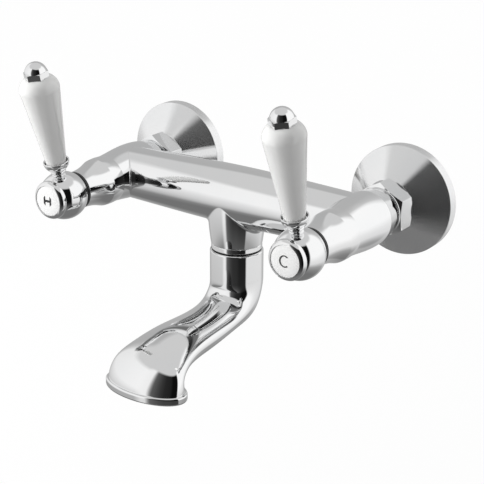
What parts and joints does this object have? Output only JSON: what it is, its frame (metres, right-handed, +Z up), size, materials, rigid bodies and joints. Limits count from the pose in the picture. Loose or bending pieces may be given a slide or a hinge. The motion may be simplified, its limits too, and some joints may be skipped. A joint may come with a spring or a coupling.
{
  "type": "wall mixer tap",
  "caption": "Wall-mounted bath mixer tap with two quarter-turn levers, hexagon unions, conical wall roses and a swivel spout with an oval mouth.",
  "frame": {"origin": "on the wall plane, midway between the axes of the two inlets", "axes": "+X along the body towards the cold (right-hand) inlet as the user sees it, +Y into the wall, +Z up"},
  "size_m": [0.21, 0.1567, 0.1601],
  "materials": {
    "chrome": "polished",
    "brass": "machined",
    "steel": "machined",
    "white_glaze": "glossy",
    "valve_ceramic": "lapped",
    "black_rubber": "matte",
    "black_plastic": "matte",
    "white_nylon": "matte"
  },
  "bodies": {
    "tap_body": {"mixer_body": "chrome", "spout_nipple": "chrome", "spout_o_rings": "black_rubber", "spout_washer": "black_plastic", "hot_rose": "chrome", "hot_wall_union": "brass", "hot_union_nut": "chrome", "hot_union_washer": "black_rubber", "hot_inlet_tail": "brass", "hot_valve_body": "brass", "hot_valve_seal": "black_rubber", "hot_fixed_disc": "valve_ceramic", "hot_valve_o_ring": "black_rubber", "hot_bonnet_shield": "chrome", "hot_glide_ring": "black_plastic", "cold_rose": "chrome", "cold_wall_union": "brass", "cold_union_nut": "chrome", "cold_union_washer": "black_rubber", "cold_inlet_tail": "brass", "cold_valve_body": "brass", "cold_valve_seal": "black_rubber", "cold_fixed_disc": "valve_ceramic", "cold_valve_o_ring": "black_rubber", "cold_bonnet_shield": "chrome", "cold_glide_ring": "black_plastic"},
    "hot_lever": {"hot_spindle": "brass", "hot_moving_disc": "valve_ceramic", "hot_spindle_o_rings": "black_rubber", "hot_spindle_clip": "steel", "hot_lever_hub": "chrome", "hot_handle_screw": "steel", "hot_index_bezel": "chrome", "hot_index_disc": "white_glaze", "hot_lever_cup": "chrome", "hot_lever_washers": "white_nylon", "hot_lever_handle": "white_glaze", "hot_lever_stud": "steel", "hot_lever_knob": "chrome"},
    "cold_lever": {"cold_spindle": "brass", "cold_moving_disc": "valve_ceramic", "cold_spindle_o_rings": "black_rubber", "cold_spindle_clip": "steel", "cold_lever_hub": "chrome", "cold_handle_screw": "steel", "cold_index_bezel": "chrome", "cold_index_disc": "white_glaze", "cold_lever_cup": "chrome", "cold_lever_washers": "white_nylon", "cold_lever_handle": "white_glaze", "cold_lever_stud": "steel", "cold_lever_knob": "chrome"},
    "spout_body": {"spout": "chrome", "spout_grub_screw": "steel"}
  },
  "joints": [
    {"name": "hot_lever_turn", "type": "hinge", "parent": "tap_body", "child": "hot_lever", "pos_m": [-0.075, -0.1044, 0], "axis": [0, -1, 0], "range_deg": [0, 90]},
    {"name": "cold_lever_turn", "type": "hinge", "parent": "tap_body", "child": "cold_lever", "pos_m": [0.075, -0.1044, 0], "axis": [0, 1, 0], "range_deg": [0, 90]},
    {"name": "spout_swivel", "type": "hinge", "parent": "tap_body", "child": "spout_body", "pos_m": [0, -0.05, -0.038], "axis": [0, 0, 1], "range_deg": [-90, 90]}
  ]
}
